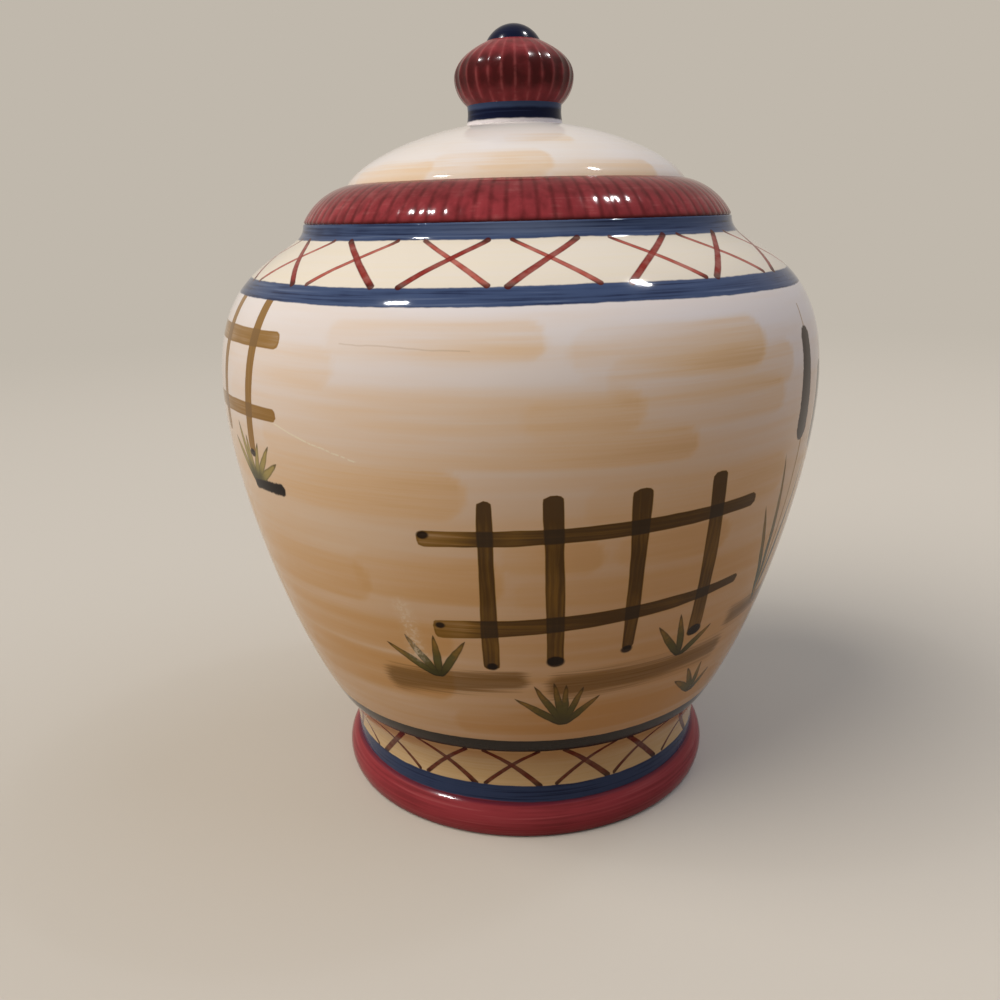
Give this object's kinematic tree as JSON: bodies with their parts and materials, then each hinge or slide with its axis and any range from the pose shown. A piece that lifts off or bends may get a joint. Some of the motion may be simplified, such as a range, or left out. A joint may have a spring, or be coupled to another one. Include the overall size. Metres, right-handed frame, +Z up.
{
  "type": "canister",
  "caption": "Footed, full-bellied glazed ceramic canister with a domed lid, a fluted knob and a soft seal in its neck, painted with bands, crosses and a rail fence.",
  "frame": {"origin": "centre of the face that the foot ring stands on", "axes": "+Z up along the axis that every piece is turned about; the side seen in the picture faces -Y, with +X to its right"},
  "size_m": [0.1922, 0.1922, 0.2432],
  "materials": {
    "jar_glaze": "clear gloss glaze over hand painting on cream",
    "lid_glaze": "clear gloss glaze over hand painting on cream",
    "knob_glaze": "clear gloss glaze over barn red and blue",
    "seal_rubber": "satin, pale, slightly cloudy"
  },
  "bodies": {
    "jar": {"jar_body": "jar_glaze"},
    "seal": {"lid_seal": "seal_rubber"},
    "lid": {"lid_shell": "lid_glaze", "lid_knob": "knob_glaze"}
  },
  "joints": [
    {"name": "lid_lift", "type": "slide", "parent": "jar", "child": "seal", "axis": [0, 0, 1], "range_m": [0, 0.16]},
    {"name": "lid_turn", "type": "hinge", "parent": "seal", "child": "lid", "pos_m": [0, 0, 0.1862], "axis": [0, 0, 1], "continuous": true}
  ]
}
